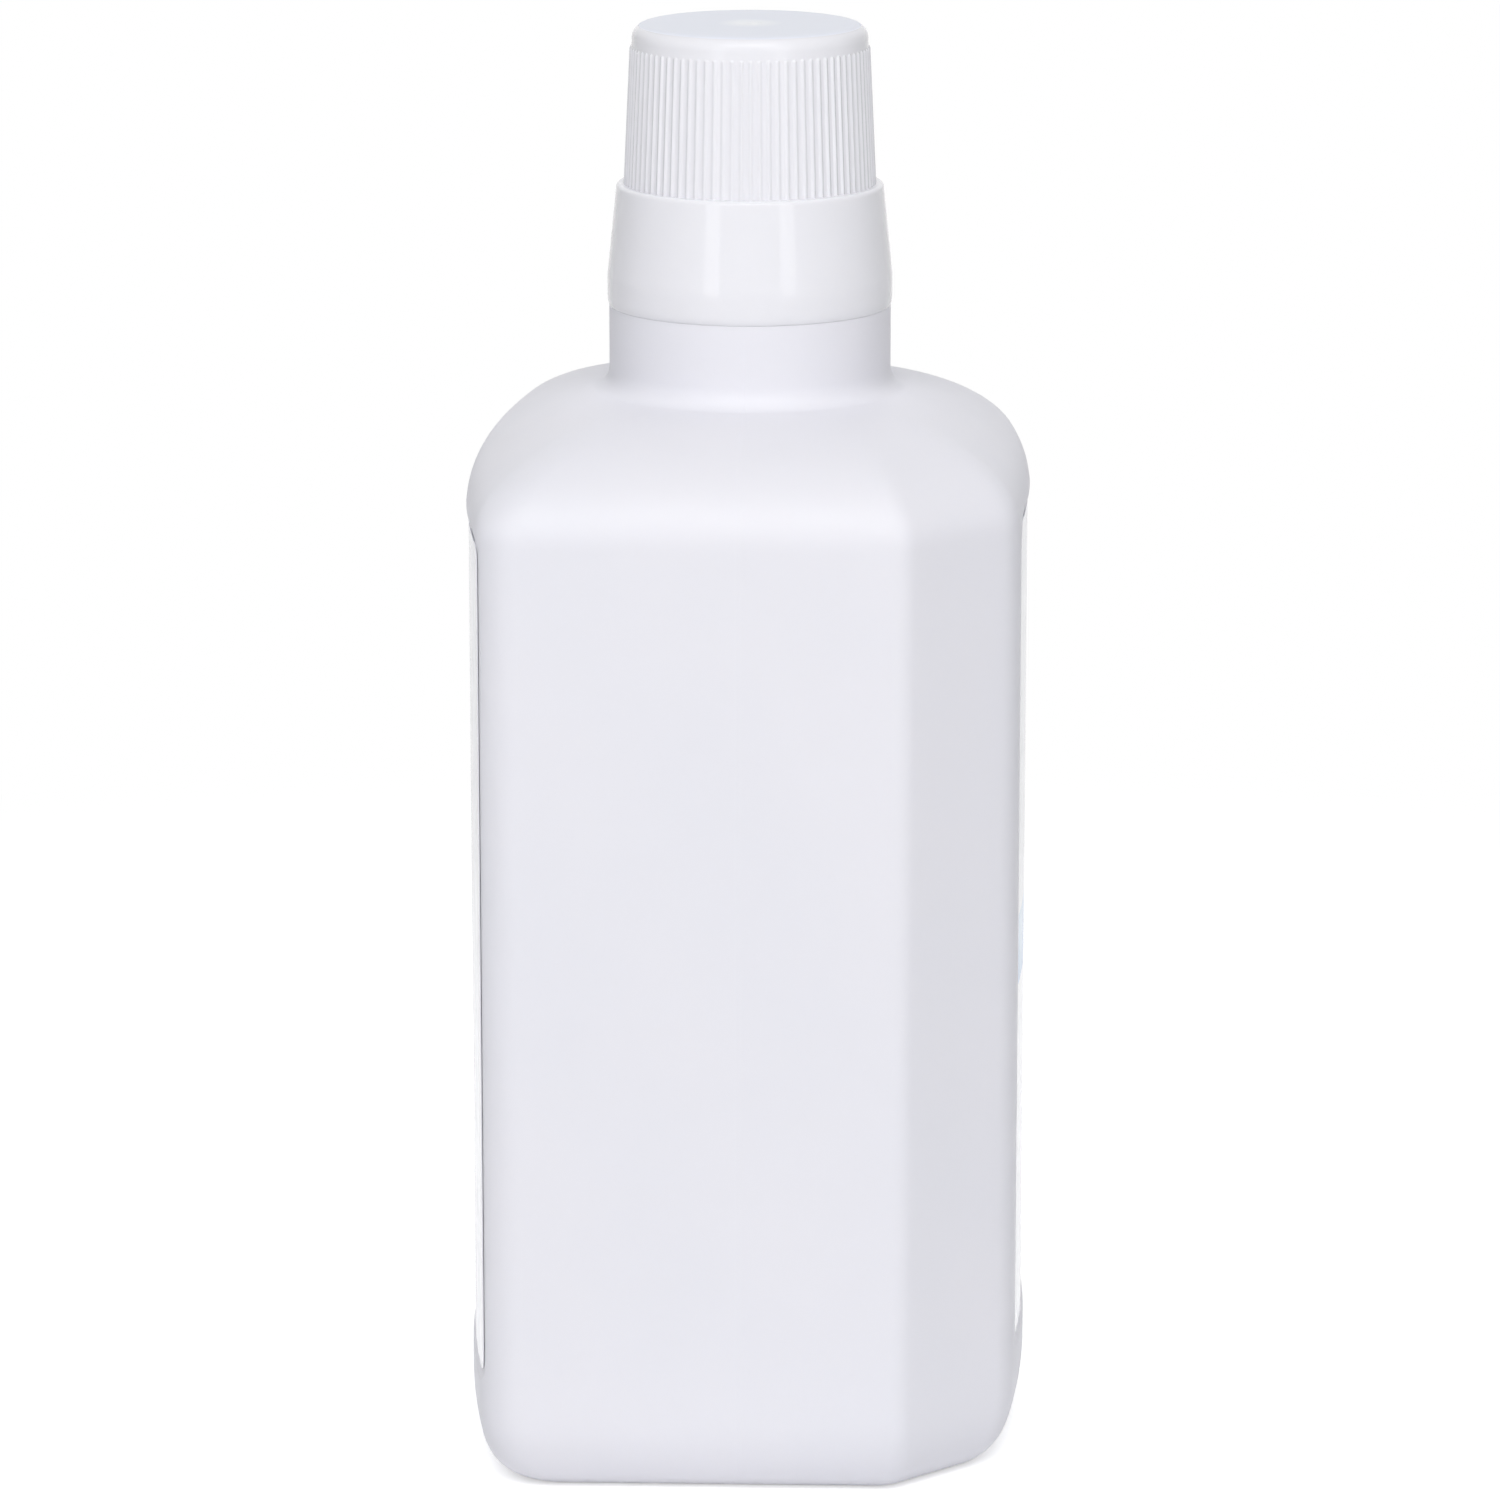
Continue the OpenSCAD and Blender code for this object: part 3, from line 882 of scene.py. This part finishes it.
# Floor, world and lights, in metres and watts

FLOOR_COLOR = (0.97, 0.97, 0.975)
FLOOR_LIFT = 0.35
FLOOR_RADIUS = 4
FLOOR_FADE = (0.10, 0.34)
WARM = (1.0, 1.0, 0.99)
COOL = (0.97, 0.99, 1.04)
# Each lobe of the sky: elevation, heading from the camera's side, strength, colour
SKY = [(55, 0, 2.6, WARM), (10, 0, 1.15, WARM), (20, 180, 1.2, WARM),
       (25, 125, 0.6, COOL), (25, -125, 0.6, COOL)]
LOBE_POWER = 8.0
CAMERA_SIDE = 181.9
SIDE_BOX_WATTS = 1.3
SIDE_BOX_TURN = 31
SIDE_BOX_REACH = 1.1
SIDE_BOX_Z = 0.35
SIDE_BOX_AIM = (0, 0, 0.14)
SIDE_BOX_SIZE = (0.25, 1.25)
TOP_BOX_WATTS = 2.4
TOP_BOX_PLACE = (-0.69, -0.023, 1.06)
TOP_BOX_AIM = (0, 0, 0.08)
TOP_BOX_SIZE = (0.9, 0.6)


def add_shaders(tree, first, second):
    node = add(tree, "ShaderNodeAddShader")
    tree.links.new(first, node.inputs[0])
    tree.links.new(second, node.inputs[1])
    return node.outputs[0]


def mix_shaders(tree, share, first, second):
    """Goes from the first shader to the second by share. Without a first one it goes from black."""
    node = add(tree, "ShaderNodeMixShader")
    tree.links.new(share, node.inputs[0])
    if first is not None:
        tree.links.new(first, node.inputs[1])
    tree.links.new(second, node.inputs[2])
    return node.outputs[0]


def seen_directly(tree):
    """1 for the rays that show the background as it is: camera, glossy and transmission."""
    path = add(tree, "ShaderNodeLightPath")
    total = calc(tree, "ADD", path.outputs["Is Camera Ray"], path.outputs["Is Glossy Ray"])
    return calc(tree, "MINIMUM", calc(tree, "ADD", total, path.outputs["Is Transmission Ray"]), 1.0)


def build_floor():
    """White paper that keeps the shadow near the object and fades to plain white further out."""
    bpy.ops.mesh.primitive_circle_add(vertices=96, radius=FLOOR_RADIUS, fill_type="NGON", location=(0, 0, 0))
    floor = bpy.context.object
    floor.name = "studio_floor"
    mat = bpy.data.materials.new("floor_white")
    mat.use_nodes = True
    tree = mat.node_tree
    tree.nodes.clear()
    out = add(tree, "ShaderNodeOutputMaterial")
    paper = add(tree, "ShaderNodeBsdfDiffuse", Roughness=1.0)
    paper.inputs["Color"].default_value = (*FLOOR_COLOR, 1)
    lift = add(tree, "ShaderNodeEmission", Strength=FLOOR_LIFT)
    white = add(tree, "ShaderNodeEmission", Strength=1.0)
    seen = seen_directly(tree)
    near = add_shaders(tree, paper.outputs[0], mix_shaders(tree, seen, None, lift.outputs[0]))
    coord = add(tree, "ShaderNodeTexCoord").outputs["Object"]
    fade = mapped(tree, length(tree, coord), *FLOOR_FADE, 0.0, 1.0, "SMOOTHSTEP")
    far = mix_shaders(tree, calc(tree, "MULTIPLY", seen, fade), near, white.outputs[0])
    tree.links.new(far, out.inputs["Surface"])
    floor.data.materials.append(mat)


def lobe(tree, coord, elevation, heading, strength, color):
    """Light from one side of the sky, falling off softly around its middle."""
    along = math.cos(math.radians(elevation))
    up = math.sin(math.radians(elevation))
    turn = math.radians(heading)
    dot = add(tree, "ShaderNodeVectorMath", operation="DOT_PRODUCT")
    dot.inputs[1].default_value = (-along * math.cos(turn), along * math.sin(turn), up)
    tree.links.new(coord, dot.inputs[0])
    shape = calc(tree, "POWER", calc(tree, "MAXIMUM", dot.outputs["Value"], 0.0), LOBE_POWER)
    light = add(tree, "ShaderNodeBackground")
    light.inputs["Color"].default_value = (*color, 1)
    tree.links.new(calc(tree, "MULTIPLY", shape, strength), light.inputs["Strength"])
    return light.outputs[0]


def build_world():
    """White for the rays that see it, and for the rest a sum of soft lobes of light."""
    world = bpy.data.worlds.new("studio")
    world.use_nodes = True
    tree = world.node_tree
    tree.nodes.clear()
    out = add(tree, "ShaderNodeOutputWorld")
    white = add(tree, "ShaderNodeBackground", Strength=1.0)
    white.inputs["Color"].default_value = (1, 1, 1, 1)
    coord = add(tree, "ShaderNodeTexCoord").outputs["Generated"]
    total = lobe(tree, coord, *SKY[0])
    for values in SKY[1:]:
        total = add_shaders(tree, total, lobe(tree, coord, *values))
    tree.links.new(mix_shaders(tree, seen_directly(tree), total, white.outputs[0]), out.inputs["Surface"])
    bpy.context.scene.world = world


def softbox(name, place, aim, size, watts):
    """A rectangular lamp of that width and height, which the camera doesn't see."""
    data = bpy.data.lights.new(name, "AREA")
    data.shape = "RECTANGLE"
    data.size, data.size_y = size
    data.energy = watts
    obj = bpy.data.objects.new(name, data)
    obj.location = place
    obj.rotation_euler = (Vector(aim) - Vector(place)).to_track_quat("-Z", "Y").to_euler()
    obj.visible_camera = False
    bpy.context.scene.collection.objects.link(obj)


build_floor()
build_world()
for label, turn in (("left", -SIDE_BOX_TURN), ("right", SIDE_BOX_TURN)):
    heading = math.radians(CAMERA_SIDE) + math.radians(turn)
    place = (SIDE_BOX_REACH * math.cos(heading), SIDE_BOX_REACH * math.sin(heading), SIDE_BOX_Z)
    softbox("softbox_" + label, place, SIDE_BOX_AIM, SIDE_BOX_SIZE, SIDE_BOX_WATTS)
softbox("softbox_top", TOP_BOX_PLACE, TOP_BOX_AIM, TOP_BOX_SIZE, TOP_BOX_WATTS)


# Camera, in metres

CAMERA_BACK = Vector((-0.9735, -0.0323, 0.2261))
CAMERA_TARGET = Vector((0, 0, 0.0816))
CAMERA_DISTANCE = 0.8604
CAMERA_LENS = 172.08
CAMERA_SENSOR = 36
CAMERA_FAR = 20

camera_data = bpy.data.cameras.new("camera")
camera_data.sensor_width = CAMERA_SENSOR
camera_data.lens = CAMERA_LENS
camera_data.clip_end = CAMERA_FAR
camera = bpy.data.objects.new("camera", camera_data)
camera.location = CAMERA_TARGET + CAMERA_BACK * CAMERA_DISTANCE
camera.rotation_euler = CAMERA_BACK.to_track_quat("Z", "Y").to_euler()
bpy.context.scene.collection.objects.link(camera)
bpy.context.scene.camera = camera
bpy.context.scene.view_settings.view_transform = "Standard"
